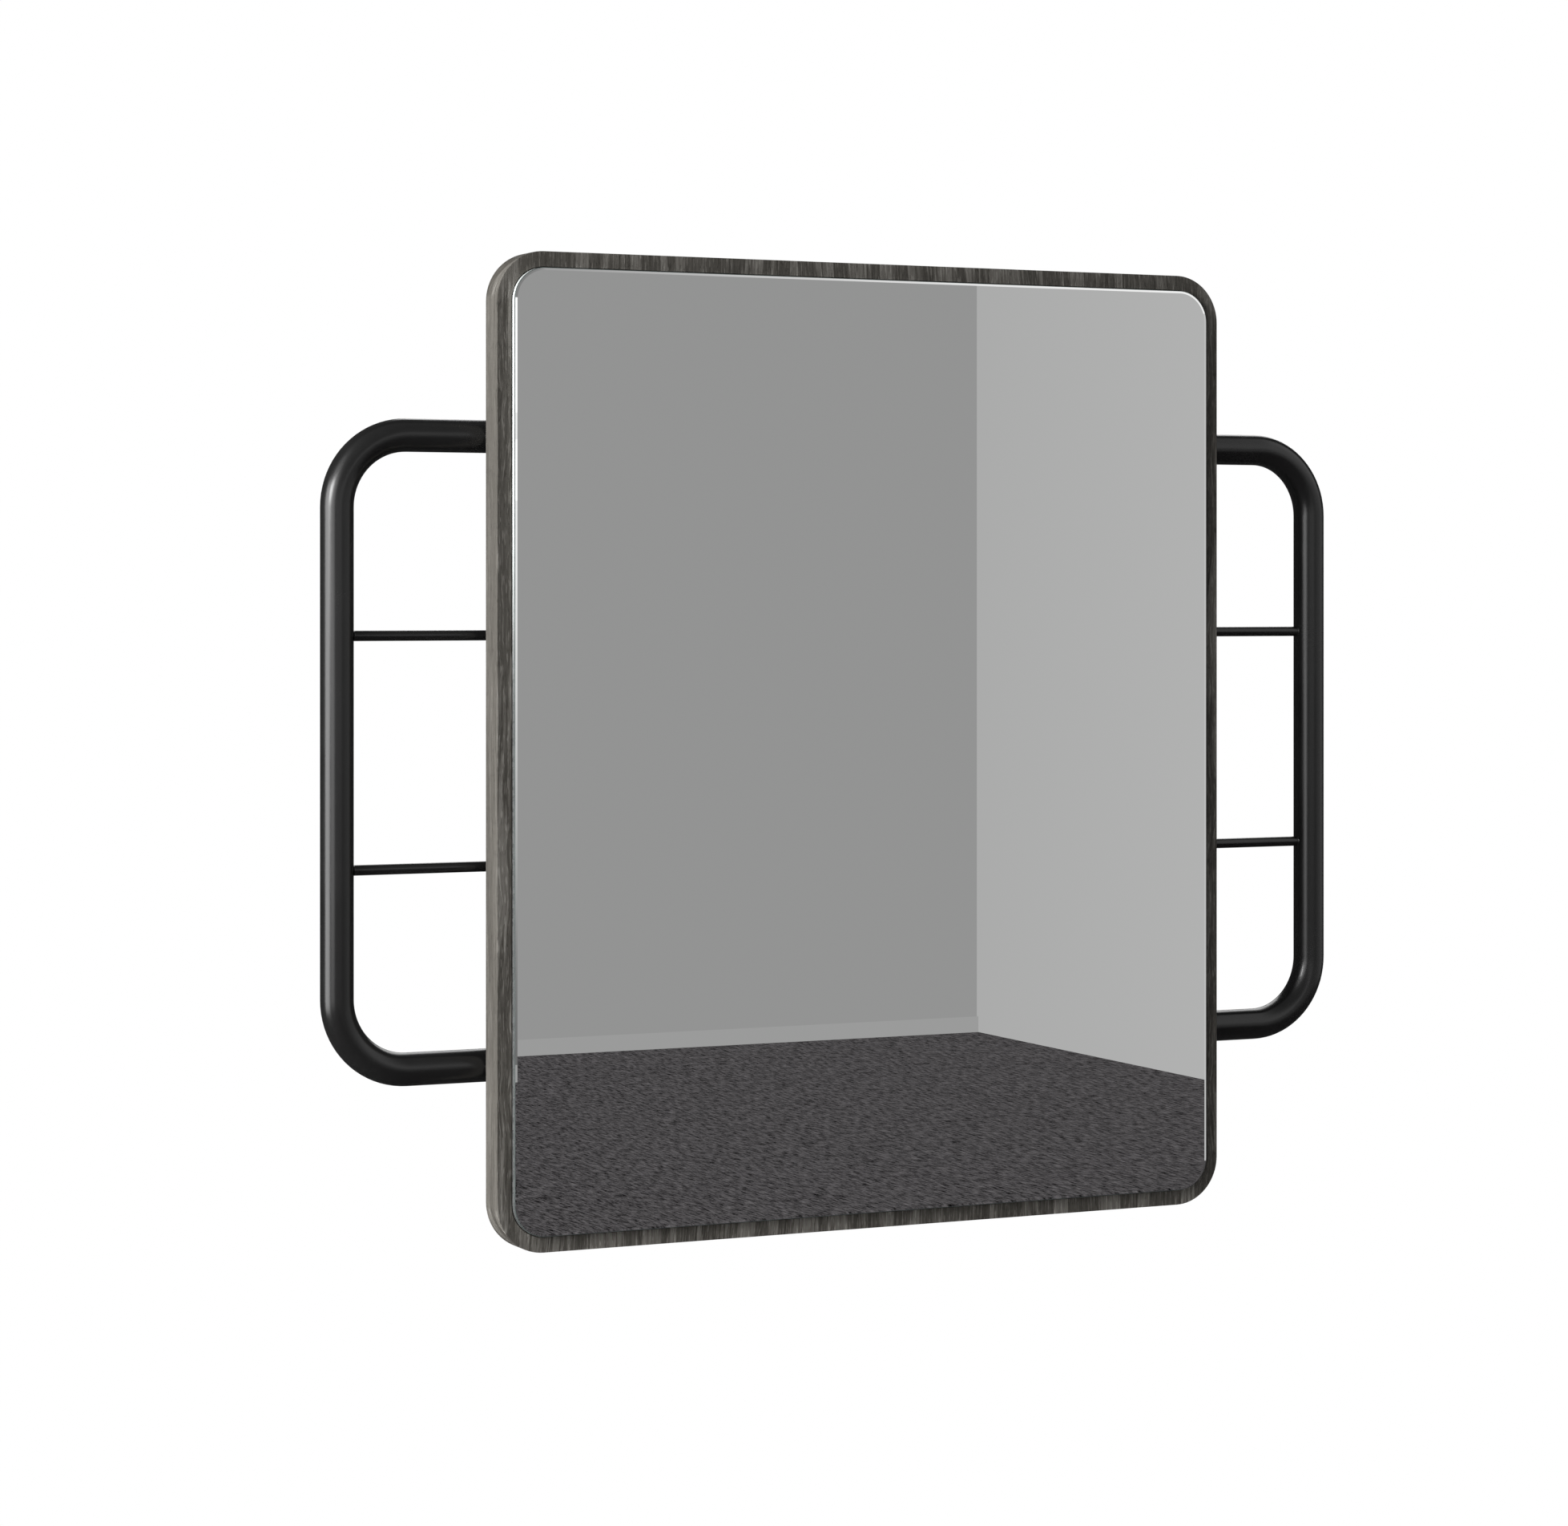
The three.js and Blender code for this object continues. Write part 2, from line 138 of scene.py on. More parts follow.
class Finish:
    """A material in the making: a Principled shader and the nodes that feed it."""

    def __init__(self, name, colour=None, **plain):
        self.material = bpy.data.materials.new(name)
        self.material.use_nodes = True
        self.tree = self.material.node_tree
        self.shader = self.tree.nodes["Principled BSDF"]
        if colour:
            self.shader.inputs["Base Color"].default_value = (*colour, 1)
        for socket, value in plain.items():
            self.shader.inputs[socket.replace("_", " ")].default_value = value

    def node(self, kind, settings=None, inputs=None, output=0):
        made = self.tree.nodes.new("ShaderNode" + kind)
        for name, value in (settings or {}).items():
            if name == "stops":
                self.set_stops(made.color_ramp, value)
            else:
                setattr(made, name, value)
        for key, value in (inputs or {}).items():
            self.feed(made.inputs[key], value)
        return Socket(self, made.outputs[output])

    def feed(self, socket, value):
        if isinstance(value, Socket):
            self.tree.links.new(value.output, socket)
        else:
            socket.default_value = value

    def set_stops(self, ramp, stops):
        while len(ramp.elements) < len(stops):
            ramp.elements.new(1.0)
        for element, (position, colour) in zip(ramp.elements, stops):
            element.position = position
            element.color = (*colour, 1)

    def surface(self, **sockets):
        for name, value in sockets.items():
            self.feed(self.shader.inputs[name.replace("_", " ")], value)
        return self.material

    def place(self, stretch=(1, 1, 1)):
        where = self.node("TexCoord", output="Object")
        return self.node("Mapping", {}, {"Vector": where, "Scale": stretch})

    def along(self, axis):
        """Where a point lies along one axis, X, Y or Z, in metres."""
        return self.node("SeparateXYZ", {}, {0: self.place()}, axis)

    def noise_at(self, place, detail, roughness):
        inputs = {"Vector": place, "Scale": 1.0, "Detail": detail, "Roughness": roughness}
        return self.node("TexNoise", {}, inputs)

    def noise(self, stretch, detail=2.0, roughness=0.5):
        return self.noise_at(self.place(stretch), detail, roughness)

    def ramp(self, value, *stops):
        return self.node("ValToRGB", {"stops": stops}, {0: value})

    def bump(self, height, depth, strength=1.0):
        inputs = {"Height": height, "Distance": depth, "Strength": strength}
        return self.node("Bump", {}, inputs, "Normal")


print("shader arithmetic ready")

# %% [markdown]
# ## Dark oak veneer
# Oak is open grained: fine pores run along the board, and where the knife cut across the year rings
# they show as tall flames. The stain left this veneer dark grey-brown with paler flames and dark pores.
# All of it follows from one idea: noise that is stretched along the grain. A wide, long noise makes the
# flames, narrow ones make fibres, streaks and pores, and one slow noise sways them all together.


# %% The veneer
def oak_veneer():
    oak = Finish("dark_oak_veneer", Specular_IOR_Level=0.2)
    across, depth, along_grain = oak.along("X"), oak.along("Y"), oak.along("Z")
    sway = (oak.noise((9, 9, 8), 2.0, 0.5) - 0.5) * (20 * MM)

    def grain(width, length, detail, roughness):
        """Noise whose spots are this wide and long, bent by the grain's sway."""
        inputs = {0: (across + depth + sway) * (1 / width), 2: along_grain * (1 / length)}
        return oak.noise_at(oak.node("CombineXYZ", {}, inputs), detail, roughness)

    fibres = grain(2.2 * MM, 60 * MM, 4.0, 0.62)
    flames = (grain(15 * MM, 170 * MM, 2.0, 0.5) + (fibres - 0.5) * 0.35).step(0.47, 0.57)
    streaks = grain(1.4 * MM, 17 * MM, 2.0, 0.6).step(0.55, 0.61)
    pores = grain(0.9 * MM, 8 * MM, 2.0, 0.6).step(0.56, 0.68)

    # The board's upright sides are banded with quieter veneer.
    side_from, side_to = door_high.x - 0.4 * MM, door_high.x - 0.1 * MM
    band = across.math("ABSOLUTE", across).step(side_from, side_to)
    figure = (flames * 0.33 + streaks * 0.30) * (1 - band * 0.70) + band * 0.14
    tone = 0.16 + figure + (fibres - 0.5) * (0.80 - band * 0.10) - pores * 0.18
    dark, middle, pale = (0.044, 0.040, 0.034), (0.128, 0.120, 0.107), (0.315, 0.302, 0.280)
    colour = oak.ramp(tone, (0.0, dark), (0.42, middle), (1.0, pale))
    roughness = 0.60 + pores * 0.16 - flames * 0.05
    height = (fibres - 0.5) * 0.5 - pores * 0.8
    return oak.surface(Base_Color=colour, Roughness=roughness, Normal=oak.bump(height, 0.00018, 0.6))


# %% [markdown]
# ## Mirror glass
# A mirror is glass with silver on its back. Its face reflects like polished silver, the ground edge is
# pale green-grey glass with painted light that makes it brighter towards the top, a dark arris runs where
# edge and bevel meet, and the back has a coat of grey paint over the silver.


# %% Silver, ground edge, arris and backing paint
def silvered_face():
    silver = Finish("silvered_face", (0.93, 0.935, 0.93), Metallic=1.0, Roughness=0.0)
    haze = silver.noise((3, 3, 3), 3.0, 0.6).step(0.45, 0.8)
    return silver.surface(Roughness=haze * 0.004)


def ground_edge():
    edge = Finish("ground_glass_edge", Specular_IOR_Level=0.6)
    grind = edge.noise((160, 160, 160), 3.0, 0.6)
    # Painted light: the edge is painted brighter towards the top, where light from above enters the glass.
    shade = 0.07 + edge.along("Z").step(0.02, 0.20) * 0.60 + grind * 0.12
    colour = edge.ramp(shade, (0.0, (0, 0, 0)), (1.0, (0.96, 1.0, 0.99)))
    return edge.surface(
        Base_Color=colour, Roughness=0.18 + grind * 0.2, Normal=edge.bump(grind, 0.00002)
    )


def dark_arris():
    arris = Finish("dark_glass_arris", Specular_IOR_Level=0.5)
    grind = arris.noise((200, 200, 60), 3.0, 0.6)
    colour = arris.ramp(grind, (0.3, (0.05, 0.06, 0.06)), (0.7, (0.09, 0.11, 0.105)))
    return arris.surface(Base_Color=colour, Roughness=0.3 + grind * 0.1)


def backing_paint():
    paint = Finish("mirror_backing_paint", Specular_IOR_Level=0.4)
    mottle = paint.noise((60, 60, 60), 4.0, 0.6)
    colour = paint.ramp(mottle, (0.3, (0.16, 0.17, 0.18)), (0.7, (0.22, 0.23, 0.24)))
    return paint.surface(Base_Color=colour, Roughness=0.55 + mottle * 0.1)


# %% [markdown]
# ## Black powder coat
# The tubes, rods and the box are steel under a satin black powder coat. The powder melts into a skin
# with a very fine orange peel, which breaks up a highlight's edge, and its gloss varies a little.


# %% Powder coat in two grades
def powder_coat(name, colour, roughness, grain):
    coat = Finish(name, Specular_IOR_Level=0.5)
    peel = coat.noise((grain, grain, grain), 2.0, 0.5)
    cloud = coat.noise((14, 14, 14), 3.0, 0.6)
    low = tuple(0.85 * c for c in colour)
    high = tuple(1.25 * c for c in colour)
    shade = coat.ramp(cloud, (0.3, low), (0.7, high))
    rough = roughness + (cloud - 0.5) * 0.12 + (peel - 0.5) * 0.06
    return coat.surface(Base_Color=shade, Roughness=rough, Normal=coat.bump(peel, 0.00003, 0.2))


# %% [markdown]
# ## Small finishes
# Zinc-plated steel for hinges, screws and pins, black moulded plastic and dull ferrite for the catch,
# float glass with a green edge for the shelves, foam for the tape and soft rubber for the bumpers.


# %% Zinc plate, plastic, ferrite, foam and rubber
def zinc_plate():
    zinc = Finish("bright_zinc_plate", Metallic=1.0)
    brushed = zinc.noise((120, 900, 120), 3.0, 0.6)
    cloud = zinc.noise((45, 45, 45), 3.0, 0.6)
    colour = zinc.ramp(cloud, (0.3, (0.47, 0.48, 0.50)), (0.7, (0.62, 0.62, 0.61)))
    rough = 0.24 + brushed * 0.14 + cloud * 0.08
    return zinc.surface(Base_Color=colour, Roughness=rough, Normal=zinc.bump(brushed, 0.00002))


def speckled(name, low, high, scale, roughness, depth):
    stuff = Finish(name)
    speck = stuff.noise((scale, scale, scale), 3.0, 0.65)
    colour = stuff.ramp(speck, (0.3, low), (0.7, high))
    rough = roughness + (speck - 0.5) * 0.2
    return stuff.surface(Base_Color=colour, Roughness=rough, Normal=stuff.bump(speck, depth, 0.7))


def shelf_glass():
    glass = Finish("float_glass", (0.93, 0.98, 0.96), IOR=1.52, Transmission_Weight=1.0)
    smear = glass.noise((9, 9, 9), 3.0, 0.6).step(0.5, 0.8)
    return glass.surface(Roughness=smear * 0.015)


def shelf_edge():
    edge = Finish("float_glass_edge", IOR=1.52, Transmission_Weight=0.35)
    depth = edge.noise((30, 200, 200), 2.0, 0.5)
    colour = edge.ramp(depth, (0.3, (0.10, 0.32, 0.26)), (0.7, (0.22, 0.50, 0.42)))
    return edge.surface(Base_Color=colour, Roughness=0.10 + depth * 0.1)


FINISHES = {
    "oak": oak_veneer(),
    "silver": silvered_face(),
    "edge": ground_edge(),
    "arris": dark_arris(),
    "backing": backing_paint(),
    "rail_coat": powder_coat("satin_black_rail_coat", (0.009, 0.009, 0.009), 0.25, 900),
    "box_coat": powder_coat("matt_black_box_coat", (0.014, 0.014, 0.014), 0.48, 700),
    "zinc": zinc_plate(),
    "plastic": speckled(
        "black_moulded_plastic", (0.02, 0.02, 0.02), (0.035, 0.035, 0.035), 500, 0.5, 0.00003
    ),
    "ferrite": speckled(
        "ferrite_magnet", (0.045, 0.045, 0.05), (0.09, 0.09, 0.095), 700, 0.7, 0.00005
    ),
    "foam": speckled("white_foam_tape", (0.62, 0.62, 0.59), (0.78, 0.78, 0.75), 800, 0.85, 0.0001),
    "rubber": speckled("grey_rubber", (0.34, 0.32, 0.28), (0.44, 0.41, 0.37), 300, 0.45, 0.00002),
    "glass": shelf_glass(),
    "glass_edge": shelf_edge(),
}
print("finishes", ", ".join(FINISHES))

# %% [markdown]
# ## Making a piece
# Every piece ends the same way: doubles merged, faces turned outwards, shaded smooth except over real
# edges, then hung on its body. Weighted normals keep large flat faces flat right up to a round edge.


# %% From a mesh in the making to a piece on its body
CREASE = 40  # degrees; edges bent more than this stay sharp
FLAT = "flat faces stay flat"


def mark_edges(bm, crease):
    for face in bm.faces:
        face.smooth = True
    for edge in bm.edges:
        edge.smooth = edge.is_manifold and edge.calc_face_angle(0) < math.radians(crease)


def piece(name, bm, finishes, body, slot, *nodes, crease=CREASE):
    bmesh.ops.remove_doubles(bm, verts=bm.verts, dist=1e-6)
    bmesh.ops.recalc_face_normals(bm, faces=bm.faces)
    mark_edges(bm, crease)
    mesh = bpy.data.meshes.new(name)
    bm.to_mesh(mesh)
    bm.free()
    made = bpy.data.objects.new(name, mesh)
    bpy.context.scene.collection.objects.link(made)
    for finish in finishes:
        mesh.materials.append(FINISHES[finish])
    made.modifiers.new(FLAT, "WEIGHTED_NORMAL").keep_sharp = True
    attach(made, body)
    if nodes:
        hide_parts(*nodes)
    low = [min(v.co[i] for v in mesh.vertices) / MM for i in range(3)]
    high = [max(v.co[i] for v in mesh.vertices) / MM for i in range(3)]
    size = " x ".join(f"{h - l:.1f}" for l, h in zip(low, high))
    print(f"{name}: {size} mm, {len(mesh.polygons)} faces")
    return made


def cut(target, *tools):
    """Takes closed meshes in the making out of a finished piece. The tools must not overlap."""
    joined = bpy.data.meshes.new("tool")
    together = bmesh.new()
    for tool in tools:
        bmesh.ops.recalc_face_normals(tool, faces=tool.faces)
        tool.to_mesh(joined)
        tool.free()
        together.from_mesh(joined)
    together.to_mesh(joined)
    together.free()
    cutter = bpy.data.objects.new("tool", joined)
    bpy.context.scene.collection.objects.link(cutter)
    flat = target.modifiers[FLAT]
    flat.show_viewport = False
    modifier = target.modifiers.new("cut", "BOOLEAN")
    modifier.operation, modifier.solver, modifier.object = "DIFFERENCE", "EXACT", cutter
    depsgraph = bpy.context.evaluated_depsgraph_get()
    depsgraph.update()
    target.data = bpy.data.meshes.new_from_object(target.evaluated_get(depsgraph))
    target.data.name = target.name
    target.modifiers.remove(modifier)
    flat.show_viewport = True
    bpy.data.objects.remove(cutter)
    bm = bmesh.new()
    bm.from_mesh(target.data)
    mark_edges(bm, CREASE)
    bm.to_mesh(target.data)
    bm.free()
    print(target.name, "after", len(tools), "cuts:", len(target.data.polygons), "faces")


def corners(node):
    """Lowest and highest corner of a node, and its middle."""
    low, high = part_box(node)
    return low, high, (low + high) / 2


# %% [markdown]
# ## The door's board
# The board has round corners, softly rounded rims and a shallow rebate in its front for the mirror. On a
# bench it would be cut, veneered, edge-banded and routed. Here a rectangle gets round corners by a
# bevel of its vertices, is pulled to its thickness, and its rims are bevelled. The rebate is an inset
# of the front that is pushed in, and the hinge leaves' mortises are cut out last.


# %% A slab with round corners
def rounded_slab(low, high, corner, segments=16):
    """A slab in the x-z plane from low to high, with its four corners rounded."""
    middle, size = (low + high) / 2, high - low
    bm = bmesh.new()
    bmesh.ops.create_grid(bm, x_segments=1, y_segments=1, size=0.5)
    bmesh.ops.scale(bm, vec=(size.x, size.z, 1), verts=bm.verts)
    bmesh.ops.bevel(
        bm,
        geom=list(bm.verts),
        offset=corner,
        affect="VERTICES",
        segments=segments,
        profile=0.5,
        material=-1,
    )
    bmesh.ops.rotate(bm, matrix=Matrix.Rotation(math.radians(90), 3, "X"), verts=bm.verts)
    bmesh.ops.translate(bm, vec=(middle.x, low.y, middle.z), verts=bm.verts)
    pulled = bmesh.ops.extrude_face_region(bm, geom=list(bm.faces), use_keep_orig=True)
    back = [v for v in pulled["geom"] if isinstance(v, bmesh.types.BMVert)]
    bmesh.ops.translate(bm, vec=(0, size.y, 0), verts=back)
    bmesh.ops.recalc_face_normals(bm, faces=bm.faces)
    return bm


def rim(bm, y):
    """The edges of the outline at depth y."""
    return [e for e in bm.edges if all(abs(v.co.y - y) < 1e-6 for v in e.verts)]


def ease(bm, edges, radius, segments=6):
    bmesh.ops.bevel(
        bm,
        geom=edges,
        offset=radius,
        affect="EDGES",
        segments=segments,
        profile=0.5,
        material=-1,
        clamp_overlap=True,
    )


def front_face(bm):
    """The largest face that looks at the room."""
    return max((f for f in bm.faces if f.normal.y < -0.99), key=lambda f: f.calc_area())


def block(low, high, easing=0):
    bm = bmesh.new()
    bmesh.ops.create_cube(bm, size=1.0)
    bmesh.ops.scale(bm, vec=high - low, verts=bm.verts)
    bmesh.ops.translate(bm, vec=(low + high) / 2, verts=bm.verts)
    if easing:
        ease(bm, list(bm.edges), easing, 3)
    return bm


def turned(profile, axis, place, steps=32):
    """A part from the lathe: pairs of radius and distance, from one end on the axis to the other."""
    bm = bmesh.new()
    verts = [bm.verts.new((radius, 0, distance)) for radius, distance in profile]
    edges = [bm.edges.new(pair) for pair in zip(verts, verts[1:])]
    bmesh.ops.spin(
        bm, geom=edges, cent=(0, 0, 0), axis=(0, 0, 1), angle=math.tau, steps=steps, use_merge=True
    )
    bmesh.ops.remove_doubles(bm, verts=bm.verts, dist=1e-7)
    aim = Vector((0, 0, 1)).rotation_difference(Vector(axis)).to_matrix()
    bmesh.ops.rotate(bm, matrix=aim, verts=bm.verts)
    bmesh.ops.translate(bm, vec=place, verts=bm.verts)
    return bm


# %% Board, rims and rebate
glass_low, glass_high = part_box("mirror_glass")
tape_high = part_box("mirror_tape_left")[1]
RIM = 0.45 * MM
CORNER = 38 * MM
SLIT = 0.8 * MM  # between the glass and the rebate's wall
GAP = 0.3 * MM  # between pieces that touch, as in the frame
margin = glass_low.x - door_low.x
rebate_floor = tape_high.y + GAP

board = rounded_slab(door_low, door_high, CORNER, 20)
ease(board, rim(board, door_low.y), RIM)
ease(board, rim(board, door_high.y), RIM)
inner = front_face(board)
bmesh.ops.inset_region(board, faces=[inner], thickness=margin - RIM - SLIT, use_even_offset=True)
inner = front_face(board)
pushed = bmesh.ops.extrude_face_region(board, geom=[inner])
floor_verts = [v for v in pushed["geom"] if isinstance(v, bmesh.types.BMVert)]
bmesh.ops.translate(board, vec=(0, rebate_floor - door_low.y, 0), verts=floor_verts)
bmesh.ops.delete(board, geom=[inner], context="FACES_ONLY")
door = piece("door_board", board, ["oak"], "door", "dark_oak", "door_panel")

# %% Mortises for the hinge leaves and holes for the screws
LEVELS = ("lower", "middle", "upper")
HINGE = {
    "leaf": 1.2 * MM,  # thickness of the strip
    "distance": 1.1 * MM,  # from the axis to the plate's near face
    "width": 36 * MM,  # from the axis to the plate's free edge
    "plate": 20 * MM,  # from the axis to a station within the plate
    "clear": 4.2 * MM,  # from the axis to where the fingers begin
    "knuckle": 3 * MM,  # outside radius of the roll
    "roll": 285,  # degrees that the fingers are rolled
    "knuckles": 5,
    "corner": 4 * MM,
    "play": GAP,
}
PILOT = {"radius": 1.8 * MM, "past": 2 * MM}  # past: how far the drill starts outside the board
SCREWS = [f"hinge_screw_{level}_{n}" for level in LEVELS for n in (1, 2)]
SCREWS += ["strike_screw_1", "strike_screw_2"]

mortises = []
for level in LEVELS:
    low, high, middle = corners(f"hinge_leaf_door_{level}")
    play = Vector((1, 0, 1)) * HINGE["play"]
    leaf_front = middle.y - HINGE["distance"] - HINGE["leaf"] - HINGE["play"]
    deep = Vector((low.x, leaf_front, low.z)) - play
    mortises.append(block(deep, Vector((high.x, door_high.y + 5 * MM, high.z)) + play))
cut(door, *mortises)

pilot_holes = []
for name in SCREWS:
    low, high, middle = corners(name)
    depth = high.y - low.y + HINGE["play"]
    wide, past = PILOT["radius"], PILOT["past"]
    pilot = [(0, -depth), (wide, -depth), (wide, past), (0, past)]
    pilot_holes.append(turned(pilot, (0, 1, 0), (middle.x, high.y, middle.z), 16))
cut(door, *pilot_holes)

# %% [markdown]
# ## The mirror
# Glass of even thickness whose front has a narrow shallow bevel all round. The bevel is an inset of the
# front face that is moved forward, so the outline drops back by the bevel's depth. Its faces stay
# flat-shaded, because a mirror shows the smallest bend in a normal.

# %% Bevelled glass
BEVEL = {"width": 2.2 * MM, "depth": 0.35 * MM, "arris": 0.6 * MM}
SILVER_FACE, GROUND_EDGE, PAINTED_BACK, ARRIS_FACE = range(4)
glass_corner = CORNER - margin
shoulder = glass_low + Vector((0, BEVEL["depth"], 0))
glass = rounded_slab(shoulder, glass_high, glass_corner, 20)
face = front_face(glass)
bmesh.ops.inset_region(glass, faces=[face], thickness=BEVEL["width"], use_even_offset=True)
face = front_face(glass)
bmesh.ops.translate(glass, vec=(0, -BEVEL["depth"], 0), verts=face.verts)
bmesh.ops.recalc_face_normals(glass, faces=glass.faces)
arris = [
    e for e in rim(glass, shoulder.y) if any(abs(f.normal.y) < 0.1 for f in e.link_faces)
]
ease(glass, arris, BEVEL["arris"], 2)
glass.normal_update()
for f in glass.faces:
    facing = -f.normal.y
    if facing > 0.95:
        f.material_index = SILVER_FACE
    elif facing < -0.95:
        f.material_index = PAINTED_BACK
    elif facing < 0.05:
        f.material_index = GROUND_EDGE
    else:
        f.material_index = ARRIS_FACE
piece(
    "bevelled_mirror",
    glass,
    ["silver", "edge", "backing", "arris"],
    "door",
    "silvered_glass",
    "mirror_glass",
    crease=4,
)

# %% [markdown]
# ## The towel rails
# Each rail is one tube bent twice, with two rods across it. A bender pulls a straight tube round a
# former; spin does the same with a ring of vertices. So the ring is pulled along each straight and
# spun through each bend, and Solidify gives the wall. A small weld bead closes every joint.


# %% A bent tube
def straight(bm, ring, vector):
    grown = bmesh.ops.extrude_edge_only(bm, edges=ring)["geom"]
    verts = [v for v in grown if isinstance(v, bmesh.types.BMVert)]
    bmesh.ops.translate(bm, vec=vector, verts=verts)
    return [e for e in grown if isinstance(e, bmesh.types.BMEdge) and all(v in verts for v in e.verts)]


def bend(bm, ring, centre, angle, steps=20):
    spun = bmesh.ops.spin(
        bm, geom=ring, cent=centre, axis=(0, 1, 0), angle=angle, steps=steps, use_merge=False
    )
    return [g for g in spun["geom_last"] if isinstance(g, bmesh.types.BMEdge)]


TUBE_WALL = 1.5 * MM
BEND = 55 * MM
ARM_BEAD, ROD_BEAD, TUBE_BEAD = 2.2 * MM, 1.4 * MM, 1.2 * MM  # widths of the weld beads
ROD_INTO_TUBE, BEAD_INTO_TUBE = 1.2 * MM, 0.5 * MM


def bent_tube(side, sign):
    low, high, middle = corners(f"rail_tube_{side}")
    radius = (high.y - low.y) / 2
    start = low.x if sign > 0 else high.x
    outer = (high.x if sign > 0 else low.x) - sign * radius
    arm = high.z - radius
    bm = bmesh.new()
    ring = bmesh.ops.create_circle(bm, segments=48, radius=radius)["verts"]
    bmesh.ops.rotate(bm, matrix=Matrix.Rotation(math.radians(90), 3, "Y"), verts=ring)
    bmesh.ops.translate(bm, vec=(start, middle.y, arm), verts=ring)
    edges = list(bm.edges)
    corner_x = outer - sign * BEND
    edges = straight(bm, edges, (corner_x - start, 0, 0))
    edges = bend(bm, edges, (corner_x, middle.y, arm - BEND), sign * math.pi / 2)
    edges = straight(bm, edges, (0, 0, -2 * (arm - BEND)))
    edges = bend(bm, edges, (corner_x, middle.y, BEND - arm), sign * math.pi / 2)
    straight(bm, edges, (start - corner_x, 0, 0))
    tube = piece(
        f"bent_tube_{side}", bm, ["rail_coat"], "cabinet", "black_steel", f"rail_tube_{side}"
    )
    tube.modifiers.remove(tube.modifiers[0])
    wall = tube.modifiers.new("tube wall", "SOLIDIFY")
    wall.thickness, wall.offset = TUBE_WALL, -1
    return radius, arm, middle.y, start, outer


# %% Rods and weld beads
def turned_bar(radius, start, end, y, z, segments=32):
    """A round bar along x."""
    bm = bmesh.new()
    bmesh.ops.create_cone(
        bm,
        cap_ends=True,
        segments=segments,
        radius1=radius,
        radius2=radius,
        depth=abs(end - start),
        matrix=Matrix.Translation(((start + end) / 2, y, z)) @ Matrix.Rotation(math.pi / 2, 4, "Y"),
    )
    return bm


def bead(name, x, y, z, radius, width, sign):
    """A weld fillet round a bar along x, against a face at x."""
    bm = bmesh.new()
    steps = 6
    root = radius - 0.2 * MM
    profile = []
    for n in range(steps + 1):
        angle = n / steps * math.pi / 2
        profile.append((width * (1 - math.sin(angle)), radius + width * (1 - math.cos(angle))))
    points = [(x + sign * a, y + r, z) for a, r in profile] + [(x, y + root, z)]
    verts = [bm.verts.new(p) for p in points]
    edges = [bm.edges.new((a, b)) for a, b in zip(verts, verts[1:] + verts[:1])]
    bmesh.ops.spin(
        bm, geom=edges, cent=(x, y, z), axis=(1, 0, 0), angle=math.tau, steps=40, use_merge=True
    )
    return piece(name, bm, ["rail_coat"], "cabinet", "black_steel")


box_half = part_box("side_panel_right")[1].x
for side, sign in (("left", -1), ("right", 1)):
    radius, arm, tube_y, start, outer = bent_tube(side, sign)
    for level, z in (("lower", -arm), ("upper", arm)):
        bead(f"arm_weld_{side}_{level}", sign * box_half, tube_y, z, radius, ARM_BEAD, sign)
    for level in ("lower", "upper"):
        node = f"rail_rod_{side}_{level}"
        low, high, middle = corners(node)
        rod_radius = (high.z - low.z) / 2
        tube_side = outer - sign * (radius - ROD_INTO_TUBE)
        rod = turned_bar(rod_radius, sign * box_half, tube_side, middle.y, middle.z)
        piece(f"rod_{side}_{level}", rod, ["rail_coat"], "cabinet", "black_steel", node)
        bead(
            f"rod_weld_{side}_{level}",
            sign * box_half,
            middle.y,
            middle.z,
            rod_radius,
            ROD_BEAD,
            sign,
        )
        bead(
            f"rod_weld_tube_{side}_{level}",
            outer - sign * (radius - BEAD_INTO_TUBE),
            middle.y,
            middle.z,
            rod_radius,
            TUBE_BEAD,
            -sign,
        )

# %% [markdown]
# ## The box
# The box is folded from 1.5 mm sheet steel and coated black: two sides with rows of holes for the shelf
# pins, a top, a bottom, a back, two rails for the wall screws and a flat face frame. Each sheet is a
# block with broken edges, and a press would punch its holes, so they are cut out all at once.


# %% Sheets of the box
def punch(radius, axis, x, y, z, reach=6 * MM, steps=28):
    profile = [(0, -reach), (radius, -reach), (radius, reach), (0, reach)]
    return turned(profile, axis, (x, y, z), steps)


def sheet(node, *punches, grow=(0, 0, 0)):
    """A sheet with broken edges. It can grow by most of a gap, to meet its neighbours without a slit."""
    low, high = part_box(node)
    grow = Vector(grow) * (GAP - 0.01 * MM)
    shape = block(low - grow, high + grow, 0.2 * MM)
    made = piece(f"{node}_sheet", shape, ["box_coat"], "cabinet", "black_steel", node)
    if punches:
        cut(made, *punches)


PIN_HOLE, WALL_HOLE = 2.75 * MM, 4 * MM  # radii
PITCH = 32 * MM
SPARE_HOLES = [n * PITCH for n in (-2, -1, 0, 1, 2)]
WALL_HOLES = [(x * MM, z * MM) for x in (-200, 200) for z in (-290, 290)]

